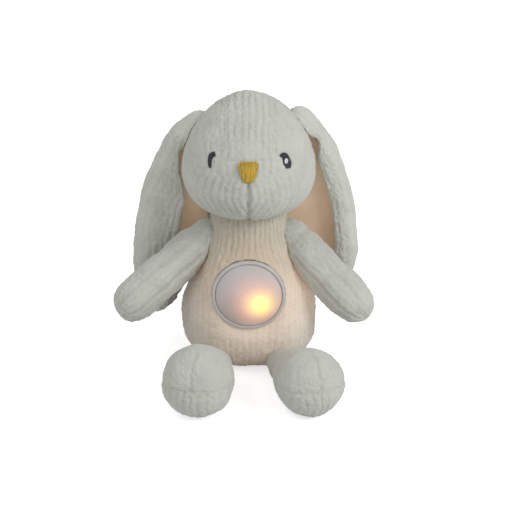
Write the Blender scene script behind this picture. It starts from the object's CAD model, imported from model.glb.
"""The dressed model of a seated plush rabbit with a push lamp in its belly.

Lengths are metres and +Z is up. The rabbit looks along -Y, and left and right are its own.
"""

import math

import bmesh
import bpy
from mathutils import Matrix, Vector, noise
from mathutils.bvhtree import BVHTree


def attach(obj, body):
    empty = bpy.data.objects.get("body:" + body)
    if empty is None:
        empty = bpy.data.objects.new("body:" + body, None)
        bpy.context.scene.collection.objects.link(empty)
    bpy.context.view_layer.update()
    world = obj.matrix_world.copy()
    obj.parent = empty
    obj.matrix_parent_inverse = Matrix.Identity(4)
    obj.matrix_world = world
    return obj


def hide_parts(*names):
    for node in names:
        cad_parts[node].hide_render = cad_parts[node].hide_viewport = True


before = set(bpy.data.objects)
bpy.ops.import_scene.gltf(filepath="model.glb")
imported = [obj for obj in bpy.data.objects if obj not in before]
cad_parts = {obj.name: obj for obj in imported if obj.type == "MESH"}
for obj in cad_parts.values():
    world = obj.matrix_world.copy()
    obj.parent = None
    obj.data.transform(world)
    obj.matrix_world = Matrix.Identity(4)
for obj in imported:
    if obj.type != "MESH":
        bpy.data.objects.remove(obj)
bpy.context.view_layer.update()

SIDES = ("left", "right")
SIGNS = {"left": 1, "right": -1}

# Camera
CAMERA_TARGET = Vector((0.0065, 0, 0.0909))
CAMERA_ELEVATION = math.radians(22)
CAMERA_DISTANCE = 1.1
CAMERA_SENSOR = 36
CAMERA_LENS = 89.78

# Light
KEY_LAMP = ((1.1, -0.8, 1.0), 0.8, 12)
FILL_LAMP = ((-0.75, -0.45, 1.15), 1.2, 3.8)
LAMP_AIM = Vector((0, 0, 0.1))
WORLD_STRENGTH = 0.455
FLOOR_HALF = 3
FLOOR_STRENGTH = 0.62

# Skins are drawn coarse, then divided until a face is about a millimetre wide
COARSE = 0.0044
DIVISIONS = 2
WELD = 0.000001
PATH_TRIES = 400
SHARP_ANGLE = math.radians(40)
STAND_OFF = 0.0006
STAND_OFF_REACH = 0.03
FLOOR_GAP = 0.0008
SOCKET_TIGHT = 0.0018

# Grids of the skins: sides round, and rings along
TORSO_GRID = (80, 52)
HEAD_GRID = (80, 40)
EAR_GRID = (56, 44)
LINING_GRID = (48, 60)
TAIL_GRID = (28, 14)
FLAP_GRID = (64, 26)
LIMB_SIDES = {"arm": 28, "leg": 40}

# Filling, which starts inside the drawn shape and swells past it
STUFFING_PRESSURE = 4000
STUFFING_FRAMES = 20
STUFFING_MASS = 0.02
STUFFING_START = 0.0012
STUFFING_SWELL = 0.0015
HEAD_SWELL = 0.0006

# Ribbed cloth. A noise is rows of a size and a share. A groove is a width and a depth. A fade is
# where it starts and how wide it is, and a width below 0 fades the other way
WALE = 0.0056
RIB_HEIGHT = 0.001
RIB_LEVEL = 0.7
RIB_ROUND_SHARE = 0.6
RIB_WANDER = ((0.013, 0.3), (0.004, 0.1))
RIB_EVEN_SHARE = 0.8
RIB_UNEVEN = ((0.009, 0.5),)
NAP_HEIGHT = 0.0006
NAP_NOISE = ((0.0026, 1.0), (0.0013, 0.8))
FOLD_HEIGHT = 0.0013
FOLD_NOISE = ((0.021, 1.0), (0.0105, 0.5))
SEAM_DEPTH = 0.0016
SEAM_WIDTH = 0.0017
HOLLOW_SHARES = {"rib": 0.55, "seam": 0.5, "nap": 0.25}

# Torso, as in the solid
TORSO_HEIGHT = 0.124
TORSO_WIDTH = 0.116
TORSO_FRONT = 0.0495
TORSO_BACK = 0.0485
NECK_RADIUS = 0.033
NECK_STEPS = 6
TORSO_SHARES = (
    (0.0, 0.5, 0.45, 0.55, 2.0),
    (0.02, 0.72, 0.64, 0.76, 2.0),
    (0.06, 0.86, 0.79, 0.87, 2.1),
    (0.115, 0.94, 0.89, 0.94, 2.2),
    (0.185, 0.98, 0.96, 0.98, 2.4),
    (0.27, 1.0, 1.0, 1.0, 2.5),
    (0.38, 0.99, 1.0, 1.0, 2.6),
    (0.48, 0.94, 0.985, 0.99, 2.6),
    (0.58, 0.86, 0.955, 0.97, 2.6),
    (0.665, 0.765, 0.91, 0.93, 2.6),
    (0.745, 0.695, 0.855, 0.87, 2.5),
    (0.83, 0.645, 0.785, 0.79, 2.3),
    (0.91, 0.605, 0.72, 0.72, 2.1),
)
LAMP_HEIGHT = 0.0757
LAMP_SEAT = 0.0463
LAMP_DRAWN_WIDTH = 0.0104
LAMP_SEWN_WIDTH = 0.004
RING_RADIUS = 0.0306
POCKET_RADIUS = 0.0303
POCKET_EDGE = 0.0009
LAMP_POCKET_END = -0.0192
BOX_LOW = 0.0402
BOX_HIGH = 0.0867
BOX_HALF_WIDTH = 0.0263
BOX_ROUND = 0.003
BOX_POCKET_END = 0.008
TABLE_STEPS = 400
TORSO_RIB_SPREAD = 0.047
SEAT_RIB_FADE = (0, 0.012)
NECK_RIB_FADE = (0.154, -0.01)
LAMP_RIB_FADE = (-0.001, 0.007)
BELLY_RIB_FADE = (0.06, 0.03)
BELLY_RIB_SHARE = 0.65
SIDE_SEAM_SHARE = 0.6
SIDE_SEAM_DEPTH = 0.00096

# Head
HEAD_WIDTH = 0.108
HEAD_DEPTH = 0.098
HEAD_HEIGHT = 0.104
HEAD_TAPER_SHARE = 0.18
HEAD_LOW_SQUARE = 2.4
NECK_CENTRE = Vector((0, 0, 0.124))
HEAD_CENTRE = Vector((0, -0.008, 0.1865))
LUMP_SHARES = (
    ((0.0, -0.95, -0.3), 0.075, 0.42),
    ((0.62, -0.7, -0.4), 0.025, 0.4),
    ((-0.62, -0.7, -0.4), 0.025, 0.4),
    ((0.0, -0.08, 1.0), 0.042, 0.3),
)
GUSSET_HALF = 0.026
GUSSET_TAPER_SHARE = 0.25
EYE_LEVEL = 0.194
NOSE_LEVEL = 0.188
CHIN_LEVEL = 0.141
FACE_FADE = (0.005, 0.02)
FACE_START_SHARE = 0.3
BROW_FADE = (0.188, -0.012)
GUSSET_FADE = (GUSSET_HALF, -0.004)
CHEEK_FADE = (EYE_LEVEL, -0.05)
CHEEK_SLOPES = (0.12, 0.7)
MUZZLE_FADE = (0.05, -0.02)
MUZZLE_LOW_FADE = (0.14, 0.01)
MUZZLE_WORN_FADE = (0.014, -0.02)
HEAD_SIDE_FADE = (-0.01, 0.02)
HEAD_SIDE_SHARES = (0.16, 0.1)
CHIN_FADE = (0.132, 0.01)
HEAD_RIB_SHARES = {"gusset": 0.6, "muzzle": 0.8}
BROKEN_SHARE = 0.9
BROKEN_NOISE = ((0.016, 1.4),)
CLEFT_GROOVE = (0.0019, 0.0019)
CLEFT_FADE = (0.134, 0.004)
BRIDGE_LEVEL = 0.195
BRIDGE_GROOVE = (0.0012, 0.0006)
BRIDGE_FADE = (0.024, -0.008)
GUSSET_GROOVE = (0.0015, 0.0005)
GUSSET_SEAM_FADE = (EYE_LEVEL, 0.01)
HEAD_FOLD_SHARE = 0.7
HEAD_NAP_SHARE = 0.9

# Limbs
LIMB_STEPS = 200
ROOT_STEPS = 20
PATH_STEPS = 10
LIMB_RIB_FADE = (0, 0.012)
LIMB_FOLD_SHARE = 1.2
ARM_LENGTH = 0.1
ARM_RADIUS = 0.0188
SHOULDER_RADIUS = 0.0155
SHOULDER_PLACE = Vector((0.035286, -0.004, 0.112001))
ARM_POSES = {"left": (math.radians(38.5), math.radians(30)), "right": (math.radians(34), math.radians(27))}
ARM_LENGTH_SHARES = {"left": 0.96, "right": 1.0}
ARM_RIBS = 20
ARM_RIB_SHARE = 0.42
ARM_GROOVE = (0.0015, 0.0008)
ARM_SEAM_FADE = (0.01, 0.01)
PAW_RIB_FADE = (0, 0.006)
CREASE_DEPTH = 0.001
CREASE_LENGTH = 0.055
CREASE_REACH = 1.6
ARM_SHARES = (
    (0.0, 0.0), (0.02, 0.6), (0.1, 0.88), (0.22, 0.97), (0.42, 1.0),
    (0.62, 1.0), (0.79, 0.98), (0.89, 0.86), (0.955, 0.62), (0.99, 0.32), (1.0, 0.0),
)
LEG_LENGTH = 0.0925
FOOT_RADIUS = 0.029
FOOT_SINK = 0.0005
HIP_RADIUS = 0.0128
HIP_PLACE = Vector((0.02784, -0.047025, 0.0135))
FOOT_CENTRE_SHARE = 0.7
LEG_POSES = {"left": math.radians(19), "right": math.radians(11)}
FOOT_SIZE_SHARES = {"left": 0.94, "right": 1.0}
SOLE_START = LEG_LENGTH * 0.72
SOLE_RIB_FADE = (SOLE_START, 0.01)
SOLE_LOW_FADE = (0.004, -0.004)
LEG_RIB_SHARES = (0.15, 0.6)
SOLE_SEAM_FADE = (SOLE_START, 0.008)
SOLE_LEVEL = 0.003
SOLE_CROSS_GROOVE = (0.0019, 0.0008)
SOLE_UPRIGHT_GROOVE = (0.0019, 0.0007)
SOLE_UPRIGHT_FADE = (SOLE_LEVEL, 0.002)
LEG_SHARES = (
    (0.0, 0.0), (0.02, 0.3), (0.08, 0.5), (0.2, 0.6), (0.34, 0.69), (0.46, 0.81),
    (0.58, 0.93), (0.7, 1.0), (0.82, 0.955), (0.915, 0.79), (0.975, 0.48), (1.0, 0.0),
)

# Ears
EAR_ROOT_RADIUS = 0.0095
EAR_ROOT = Vector((0.041, 0.004, 0.21))
EAR_BACK = 0.0188
EAR_THICKNESS = 0.011
EAR_FOLD_RADIUS = 0.009
EAR_SQUARE = 3.0
EAR_STEP = 1 / 28
EAR_SIZES = {"left": (0.0395, 0.156, 0.053, 0.01), "right": (0.047, 0.178, 0.058, 0.026)}
EAR_PATH_SHARES = (
    (0.0, 0.0, 0.0), (0.24, 0.18, 0.06), (0.51, 0.41, 0.19), (0.75, 0.6, 0.34),
    (0.92, 0.71, 0.52), (1.0, 0.76, 0.7), (0.95, 0.88, 0.87), (0.74, 1.0, 1.0),
)
EAR_FORM_SHARES = (
    (0.0, 0.15, 0.6, 0.9, 0.3), (0.14, 0.28, 0.8, 0.95, 0.6), (0.29, 0.48, 0.95, 1.0, 0.95),
    (0.43, 0.8, 1.0, 1.0, 1.0), (0.57, 1.0, 1.0, 1.0, 1.0), (0.71, 0.92, 1.0, 1.0, 1.0),
    (0.84, 0.6, 0.95, 0.95, 1.0), (0.93, 0.38, 0.85, 0.85, 1.0), (1.0, 0.2, 0.7, 0.7, 1.0),
)
EAR_LIP_SHARES = {
    "left": (
        (0.0, 1.0), (0.1, 0.8), (0.2, -0.2), (0.29, 0.45), (0.43, 0.57), (0.57, 0.65), (0.71, 0.7),
        (0.84, 0.6), (1.0, 0.2),
    ),
    "right": (
        (0.0, 0.5), (0.14, 0.4), (0.22, 0.15), (0.29, 0.3), (0.36, 0.65), (0.43, 0.93), (0.71, 0.96),
        (0.84, 0.75), (1.0, 0.2),
    ),
}
EAR_SWELL_SHARES = {"left": 1.35, "right": 1.1}
EAR_TIP_START_SHARE = 0.6
EAR_TIP_POWERS = {"left": 1.0, "right": 0.6}
EAR_BALL_SHARE = 0.05
NOD_GAP_SHARE = 0.13
EAR_OPEN_SHARE = 0.16
EAR_ROOT_END_SHARE = 0.03
EAR_TIP_END_SHARE = 0.07
EAR_RIB_SHARE = 0.5
EAR_RIB_FADE = (EAR_ROOT.z + 0.004, -0.02)
LINED_GAP = 0.003
LINED_FADE = (0.19, -0.02)
LINING_THICKNESS = 0.0012
LINING_SQUARE = 6
LINING_REACH = 0.01
LINING_GAP = 0.0006
LINING_START_SHARE = 0.13
LINING_END_SHARE = 0.93
LINING_BACK_SHARE = 0.92
LINING_LIP_SHARE = 0.7

# Face, whose eyes are crescents: outer and inner edge as shares of their half sizes
EYE_OUT = 0.03
EYE_LEVEL_Z = 0.193
EYE_HALF_WIDTH = 0.005
EYE_HALF_HEIGHT = 0.0065
EYE_STITCHES = 34
EYE_SHARES = {
    "left": (
        (-1.04, 0.71, -0.94, 0.52), (-0.76, 0.88, -0.72, 0.46), (-0.32, 0.92, -0.58, 0.28),
        (0.16, 0.68, -0.52, 0.0), (0.54, 0.28, -0.5, -0.25), (0.8, -0.23, -0.36, -0.48),
        (0.8, -0.63, -0.22, -0.68), (0.7, -0.95, -0.08, -0.89),
    ),
    "right": (
        (-0.68, 1.08, -0.84, 0.6), (-0.3, 0.97, -0.66, 0.52), (0.02, 0.8, -0.38, 0.32),
        (0.24, 0.6, -0.3, 0.12), (0.38, 0.18, -0.26, -0.1), (0.38, -0.28, -0.22, -0.35),
        (0.3, -0.7, -0.2, -0.6), (0.06, -0.9, -0.16, -0.76),
    ),
}
GLINTS = {"left": ((0.0292, 0.1926), 0.0011, 0.002), "right": ((0.0276, 0.1912), 0.0002, 0.0005)}
EYE_RISE = 0.0006
GLINT_STITCHES = 7
GLINT_RISE = 0.0003
GLINT_LIFT = 0.0011
GLINT_ROUND_SHARE = 0.6
STITCH_RADIUS = 0.00028
STITCH_LIFT = 0.0006
STITCH_STEPS = 8
STITCH_ARCH = 0.6
STITCH_UNEVEN = 0.0001
STITCH_END_SHARE = 0.6
RAGGED = 0.00025
RAGGED_STEP = 1.7
RAGGED_ROW = (0.3, 0.9)
RAGGED_STARTS = {"left": 0, "right": 90, "thread": 40, "nose_top": 0, "nose_low": 60}
NOSE_HALF_WIDTH = 0.0079
NOSE_TOP = 0.1945
NOSE_HEIGHT = 0.0159
NOSE_STITCHES = 44
NOSE_SHARES = (
    (0.0, 1.0), (0.35, 0.985), (0.55, 0.92), (0.72, 0.8), (0.86, 0.62), (0.95, 0.42), (1.0, 0.22),
)
NOSE_RISE = 0.0024
NOSE_CORNER = 0.0016
NOSE_CORNER_POWER = 5
NOSE_GATHER_SHARE = 0.94
NOSE_DOME_SHARE = 0.85
NOSE_SPLIT = (0.0007, 0.12)

# Lamp
TURNED_STEPS = 160
ARC_STEPS = 8
RING_LIP = 0.0003
RING_CORNER = 0.0011
RING_SEAT = 0.0455
RING_BORE = 0.028
RING_THICKNESS = 0.003
BARREL_RADIUS = 0.0294
BARREL_DEPTH = 0.0055
DOME_RISE = 0.0061
DOME_WALL = 0.0018
DOME_FLANGE_RADIUS = 0.0289
DOME_POST_RADIUS = 0.002
DOME_POST_END = -0.0119
DOME_STEPS = {"outer": 40, "inner": 24}
DOME_POWER = 0.9
LENS_GAP = 0.0004
FLANGE_FRONT = BARREL_DEPTH + 0.0003
FLANGE_BACK = BARREL_DEPTH + 0.0013

# Tail and flap
TAIL_RADIUS = 0.013
TAIL_HEIGHT = 0.0155
TAIL_RIBS = 14
TAIL_RIB_SHARE = 0.5
TAIL_RIB_FADE = (0, 0.006)
TAIL_FOLD_SHARE = 0.5
FLAP_PROUD = 0.0003
FLAP_THICKNESS = 0.003
FLAP_HALF_WIDTH = 0.02895
FLAP_BOTTOM = 0.031
FLAP_TOP = 0.0889
FLAP_ROUND = 0.006
FLAP_SQUARE = 9
FLAP_EDGE_POWERS = (0.16, 0.5)
FLAP_BED_EDGE = 0.0006
FLAP_BED_SINK = 0.0012
FLAP_FACE_FADE = (-FLAP_THICKNESS / 2, 0.001)
FLAP_RIB_FADE = (0, -0.003)
FLAP_HEM = 0.004
FLAP_GROOVE = (0.0009, 0.0005)
FLAP_FOLD_HEIGHT = 0.0002
FLAP_NAP_SHARE = 0.6

# Colours, in linear light
BLACK = (0, 0, 0, 1)
PURE_WHITE = (1, 1, 1, 1)
CREAM = (0.57, 0.58, 0.53, 1)
CREAM_GROOVE = (0.42, 0.42, 0.37, 1)
CREAM_EAR = (0.615, 0.62, 0.56, 1)
CREAM_EAR_GROOVE = (0.45, 0.45, 0.39, 1)
CREAM_WARM = (0.9, 0.77, 0.65, 1)
PEACH = (0.7, 0.55, 0.39, 1)
PEACH_GROOVE = (0.6, 0.44, 0.3, 1)
PEACH_GLOW = (0.12, 0.082, 0.055, 1)
YELLOW = (0.58, 0.39, 0.035, 1)
YELLOW_STREAK = (0.3, 0.17, 0.015, 1)
NAVY = (0.007, 0.008, 0.015, 1)
NAVY_STREAK = (0.014, 0.016, 0.03, 1)
WHITE_THREAD = (0.78, 0.79, 0.79, 1)
WHITE_STREAK = (0.55, 0.56, 0.56, 1)
PLASTIC_WHITE = (0.5, 0.5, 0.49, 1)
MILKY = (0.46, 0.47, 0.46, 1)
DARK_GREY = (0.025, 0.025, 0.027, 1)
MID_GREY = (0.2, 0.2, 0.21, 1)
STEEL = (0.55, 0.55, 0.54, 1)
PAPER = (0.04, 0.04, 0.042, 1)
SHEATH = (0.5, 0.5, 0.48, 1)
BOARD_GREEN = (0.02, 0.13, 0.05, 1)
TRACK_GREEN = (0.06, 0.3, 0.11, 1)
AMBER = (0.8, 0.5, 0.15, 1)
SLEEVE_DARK = (0.03, 0.03, 0.035, 1)
SLEEVE_COPPER = (0.55, 0.24, 0.08, 1)
TAPE_WHITE = (0.66, 0.66, 0.63, 1)
FLOOR_GREY = (0.86, 0.86, 0.86, 1)

# Finishes: colour, roughness, grain, how much the colour varies, and how deep the grain is
FINISHES = {
    "yellow_thread": (YELLOW, 0.42, 1500.0, 0.5, 0.00008),
    "navy_thread": (NAVY, 0.42, 1500.0, 0.5, 0.00008),
    "white_thread": (WHITE_THREAD, 0.42, 1500.0, 0.5, 0.00008),
    "milky_lens": (MILKY, 0.32, 300.0, 0.1, 0.00001),
    "white_plastic": (PLASTIC_WHITE, 0.4, 400.0, 0.3, 0.00003),
    "dark_plastic": (DARK_GREY, 0.45, 400.0, 0.3, 0.00003),
    "grey_plastic": (MID_GREY, 0.45, 400.0, 0.3, 0.00003),
    "bright_steel": (STEEL, 0.3, 900.0, 0.2, 0.00001),
    "speaker_paper": (PAPER, 0.8, 700.0, 0.5, 0.0001),
    "lead_sheath": (SHEATH, 0.5, 500.0, 0.3, 0.00003),
    "green_board": (BOARD_GREEN, 0.35, 600.0, 0.3, 0.00003),
    "amber_resin": (AMBER, 0.15, 300.0, 0.1, 0.00003),
    "cell_sleeve": (SLEEVE_DARK, 0.3, 500.0, 0.2, 0.00003),
    "hook_and_loop": (TAPE_WHITE, 0.85, 800.0, 0.2, 0.00003),
}
GRAIN_RANGE = (0.3, 0.7)
GRAIN_DETAIL = 3.0
ROUGH_SWING = 0.06
MOTTLE_GRAIN = 90.0
NAP_GRAIN = 900.0
NAP_DETAIL = 4.0
NAP_ROUGHNESS = 0.65
NAP_LEVEL = 0.25
NAP_BUMP = (0.6, 0.0008)
VELOUR_GRAIN = 1400.0
SHADE_GRAIN = 60.0
SHADE_RANGE = (0.95, 1.05)
STREAK_SHAPE = (1, 0.3, 0.07)
STREAK_GRAIN = 1100.0
STREAK_RANGE = (0.42, 0.66)
TRACK_GRAIN = 260.0
TRACK_OFFSET = 0.37
TRACK_WIDTH = 0.06
SLEEVE_BAND = (0.0118, 0.0122)
TUFT_GRAIN = 1300.0
TUFT_BUMP = (0.9, 0.0004)

# Glows: place, reach, shape and colour. A shape counts distance along X, Y and Z
ROUND_LAMP = (1, 0, 1)
BELLY_SHAPE = (0.85, 0.8, 1)
BELLY_WARMTH = ((0, -0.047, 0.098), 0.046, BELLY_SHAPE)
BELLY_GLOWS = (
    ((0.01, -0.047, 0.058), 0.048, BELLY_SHAPE, (0.28, 0.17, 0.115, 1)),
    ((0.056, -0.03, 0.08), 0.026, (1, 0.4, 0.8), (0.17, 0.115, 0.08, 1)),
)
LENS_GLOWS = (
    ((0.006, 0, 0.0715), 0.021, ROUND_LAMP, (0.44, 0.13, 0.08, 1)),
    ((0.0096, 0, 0.0697), 0.0135, ROUND_LAMP, (0.38, 0.13, 0.0, 1)),
    ((0.0096, 0, 0.0697), 0.0088, ROUND_LAMP, (0.6, 0.7, 0.0, 1)),
)


# Curves and shares

def smooth(share):
    """Eases 0 to 1, flat at both ends."""
    share = min(max(share, 0.0), 1.0)
    return share * share * (3 - 2 * share)


def fade(value, edge):
    """Eases 0 to 1 past an edge, which is where it starts and how wide it is."""
    start, width = edge
    return smooth((value - start) / width)


def even_shares(count):
    return [index / count for index in range(count + 1)]


def along(rows, share):
    """A smooth curve through rows of numbers, evenly paced from the first row to the last."""
    place = min(max(share, 0.0), 1.0) * (len(rows) - 1)
    index = min(int(place), len(rows) - 2)
    part = place - index
    near = [rows[min(max(index + step, 0), len(rows) - 1)] for step in (-1, 0, 1, 2)]
    return [
        b + part * (c - a + part * (2 * a - 5 * b + 4 * c - d + part * (3 * b - a - 3 * c + d))) / 2
        for a, b, c, d in zip(*near)
    ]


def at_place(rows, share):
    """A row between the rows whose first number stands either side of a share."""
    for start, end in zip(rows, rows[1:]):
        if share <= end[0]:
            part = (share - start[0]) / (end[0] - start[0])
            return [a + (b - a) * part for a, b in zip(start, end)]
    return list(rows[-1])


def round_square(angle, square):
    """The point of a unit superellipse in the direction of an angle."""
    across, up = math.cos(angle), math.sin(angle)
    reach = (abs(across) ** square + abs(up) ** square) ** (-1 / square)
    return across * reach, up * reach


def evenly(path, steps):
    """Shares that step along a path at even distances, and the path's length."""
    points = [path(share) for share in even_shares(PATH_TRIES)]
    run = [0.0]
    for start, end in zip(points, points[1:]):
        run.append(run[-1] + (end - start).length)
    shares, index = [], 0
    for step in range(steps + 1):
        want = run[-1] * step / steps
        while index < PATH_TRIES - 1 and run[index + 1] < want:
            index += 1
        part = (want - run[index]) / max(run[index + 1] - run[index], WELD)
        shares.append(min((index + part) / PATH_TRIES, 1.0))
    return shares, run[-1]


# Skins

def piece_of(name, mesh):
    data = bpy.data.meshes.new(name)
    mesh.to_mesh(data)
    mesh.free()
    data.shade_smooth()
    piece = bpy.data.objects.new(name, data)
    bpy.context.scene.collection.objects.link(piece)
    return piece


def skin(name, rounds, steps, form, wale=None):
    """A closed skin: form turns a share round and a share along into a point."""
    mesh = bmesh.new()
    sides, rings = len(rounds) - 1, len(steps) - 1
    bmesh.ops.create_grid(mesh, x_segments=sides, y_segments=rings, size=1)
    layer = mesh.verts.layers.float.new("wale")
    for vert in mesh.verts:
        turn = rounds[round((vert.co.x + 1) / 2 * sides)]
        step = steps[round((vert.co.y + 1) / 2 * rings)]
        vert.co = form(turn, step)
        vert[layer] = wale(turn, step) if wale else 0.0
    bmesh.ops.remove_doubles(mesh, verts=mesh.verts, dist=WELD)
    bmesh.ops.recalc_face_normals(mesh, faces=mesh.faces)
    return piece_of(name, mesh)


def apply_modifiers(piece):
    """Makes the piece's modifiers part of its mesh."""
    seen = bpy.context.evaluated_depsgraph_get()
    data = bpy.data.meshes.new_from_object(piece.evaluated_get(seen), depsgraph=seen)
    piece.modifiers.clear()
    old = piece.data
    piece.data = data
    bpy.data.meshes.remove(old)
    data.name = piece.name


def stuff(piece, swell=STUFFING_SWELL):
    """Swells the sewn shape under the pressure of its filling, and keeps its mean size."""
    reshape(piece, lambda place, normal: place - normal * STUFFING_START)
    cloth = piece.modifiers.new("stuffing", "CLOTH")
    cloth.settings.mass = STUFFING_MASS
    cloth.settings.use_pressure = True
    cloth.settings.uniform_pressure_force = STUFFING_PRESSURE
    cloth.settings.effector_weights.gravity = 0
    for frame_number in range(1, STUFFING_FRAMES + 1):
        bpy.context.scene.frame_set(frame_number)
    seen = bpy.context.evaluated_depsgraph_get()
    swollen = [vert.co.copy() for vert in piece.evaluated_get(seen).data.vertices]
    piece.modifiers.clear()
    bpy.context.scene.frame_set(1)
    grown = 0.0
    for vert, place in zip(piece.data.vertices, swollen):
        move = place - vert.co
        move *= min(swell / max(move.length, WELD), 1.0)
        grown += move.dot(vert.normal) / len(swollen)
        vert.co += move
    piece.data.update()
    reshape(piece, lambda place, normal: place + normal * (STUFFING_START - grown))


def divide(piece, levels=DIVISIONS):
    surface = piece.modifiers.new("round", "SUBSURF")
    surface.levels = surface.render_levels = levels
    apply_modifiers(piece)
    piece.data.shade_smooth()


def reshape(piece, change):
    """Moves each vertex to where change puts it, from its place and normal."""
    data = piece.data
    for vert, place in zip(data.vertices, [change(vert.co, vert.normal) for vert in data.vertices]):
        vert.co = place
    data.update()


def keep_above(piece, level):
    """Presses cloth flat where it would pass below a level."""
    reshape(piece, lambda place, _: Vector((place.x, place.y, max(place.z, level))))


def tree_of(piece):
    """A search tree of a mesh, to find how near other cloth lies."""
    mesh = bmesh.new()
    mesh.from_mesh(piece.data)
    tree = BVHTree.FromBMesh(mesh)
    mesh.free()
    return tree


def stand_off(piece, tree, gap_at=None, near=STAND_OFF_REACH, ball=None):
    """Keeps a piece's cloth a gap outside its neighbour, but for a ball that sits in a socket."""
    def outside(place, _):
        gap = gap_at(place) if gap_at else STAND_OFF
        spot, way, _, _ = tree.find_nearest(place, near)
        if spot is None:
            return place
        depth = gap - (place - spot).dot(way)
        if depth <= 0:
            return place
        pushed = place + way * depth
        if ball is None:
            return pushed
        centre, radius = ball
        off = place - centre
        if off.length <= radius:
            return place
        drawn = centre + off.normalized() * radius
        return drawn if (drawn - place).length < depth else pushed
    reshape(piece, outside)


# Ribs, nap, folds and seams

def ridge(run):
    """Height of a round rib over one wale, 0 in the groove and 1 on the crown."""
    part = 2 * (run - math.floor(run)) - 1
    return 1 - part * part * (RIB_ROUND_SHARE + (1 - RIB_ROUND_SHARE) * part * part)


def noisy(place, rows):
    """A sum of noises, each of its own size and share."""
    return sum(noise.noise(place / size) * share for size, share in rows)


def raise_cloth(piece, ribs, sinks=None, fold=FOLD_HEIGHT, nap=NAP_HEIGHT):
    """Raises ribs, nap and folds along the normals, and keeps how hollow each place is."""
    data = piece.data
    wales = data.attributes.get("wale")
    runs = [item.value for item in wales.data]
    hollows, places = [], []
    for vert, stored in zip(data.vertices, runs):
        place = vert.co
        run, share = ribs(place, stored)
        rib = ridge(run / WALE + noisy(place, RIB_WANDER))
        tuft = noisy(place, NAP_NOISE)
        sink = sinks(place) if sinks else 0.0
        rise = RIB_HEIGHT * share * (RIB_EVEN_SHARE + noisy(place, RIB_UNEVEN)) * (rib - RIB_LEVEL)
        lift = rise + nap * tuft + fold * noisy(place, FOLD_NOISE) - sink
        places.append(place + vert.normal * lift)
        hollow = (1 - rib) * share * HOLLOW_SHARES["rib"] - tuft * HOLLOW_SHARES["nap"]
        hollows.append(min(max(hollow + sink / SEAM_DEPTH * HOLLOW_SHARES["seam"], 0.0), 1.0))
    for vert, place in zip(data.vertices, places):
        vert.co = place
    data.attributes.remove(wales)
    layer = data.attributes.new("hollow", "FLOAT", "POINT")
    layer.data.foreach_set("value", hollows)
    data.update()


def groove(distance, width=SEAM_WIDTH, depth=SEAM_DEPTH):
    """How deep a seam draws the cloth at a distance from its line."""
    return depth * math.exp(-((distance / width) ** 2))


# Torso

def torso_rows():
    """Height, half width, front, back and squareness, up to the top of the neck's ball."""
    rows = [
        (up * TORSO_HEIGHT, wide * TORSO_WIDTH / 2, front * TORSO_FRONT, back * TORSO_BACK, square)
        for up, wide, front, back, square in TORSO_SHARES
    ]
    for step in range(NECK_STEPS):
        angle = step / NECK_STEPS * math.pi / 2
        radius = NECK_RADIUS * math.cos(angle)
        rows.append((TORSO_HEIGHT + NECK_RADIUS * math.sin(angle), radius, radius, radius, 2.0))
    return rows


TORSO_ROWS = torso_rows()
TORSO_TABLE = [along(TORSO_ROWS, share) for share in even_shares(TABLE_STEPS)]


def drawn_flat(x, y, z, width):
    """The belly is drawn flat round the lamp, over a width outside its ring."""
    reach = math.hypot(x, z - LAMP_HEIGHT)
    share = smooth((RING_RADIUS + width - reach) / width)
    return y + (-LAMP_SEAT - y) * share


def torso_point(round_share, along_share):
    rows = TORSO_ROWS
    place = along_share * (len(rows) + 1) - 1
    if place > len(rows) - 1:
        closing = len(rows) - place
        up, wide, front, back, square = rows[-1]
        top = TORSO_HEIGHT + NECK_RADIUS
        up, wide, front, back = top + (up - top) * closing, wide * closing, front * closing, back * closing
    elif place < 0:
        up, wide, front, back, square = [value * (1 + place) for value in rows[0][:4]] + [rows[0][4]]
    else:
        up, wide, front, back, square = along(rows, place / (len(rows) - 1))
    across, side = round_square(round_share * math.tau, square)
    x = across * wide
    y = side * (back if side > 0 else front)
    if side < 0:
        y = drawn_flat(x, y, up, LAMP_DRAWN_WIDTH)
    return Vector((x, y, up))


def torso_back(x, z):
    """How far back the torso's skin lies at a distance from its middle and a height."""
    _, wide, _, back, square = at_place(TORSO_TABLE, z)
    return back * max(1 - (abs(x) / wide) ** square, 0.0) ** (1 / square)


def rounded_box(x, z, low, high, half, rounding):
    """How far a place lies outside a rounded upright rectangle, below 0 inside it."""
    over = abs(x) - half + rounding
    rise = abs(z - (low + high) / 2) - (high - low) / 2 + rounding
    return math.hypot(max(over, 0.0), max(rise, 0.0)) + min(max(over, rise), 0.0) - rounding


def sunk_ball(place, normal, centre, radius):
    """Sinks a place straight in, until it lies on a ball's surface."""
    off = place - centre
    if off.length >= radius:
        return place
    lean = off.dot(normal)
    return place - normal * (lean + math.sqrt(lean * lean + radius * radius - off.length_squared))


def sided(vector, side):
    """The rabbit's left is +X."""
    return Vector((vector.x * SIGNS[side], vector.y, vector.z))


SOCKETS = [(sided(place, side), radius)
           for place, radius in ((SHOULDER_PLACE, SHOULDER_RADIUS), (HIP_PLACE, HIP_RADIUS))
           for side in SIDES]


def torso_sockets(place, normal):
    """Sockets for the balls of the arms and legs, and a bed for the flap."""
    for centre, radius in SOCKETS:
        place = sunk_ball(place, normal, centre, radius - SOCKET_TIGHT)
    edge = flap_edge(place)
    if place.y > 0 and edge < FLAP_BED_EDGE:
        share = smooth((FLAP_BED_EDGE - edge) / FLAP_BED_SINK)
        place = place - normal * ((FLAP_THICKNESS + FLAP_BED_SINK) * share)
    return place


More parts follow.
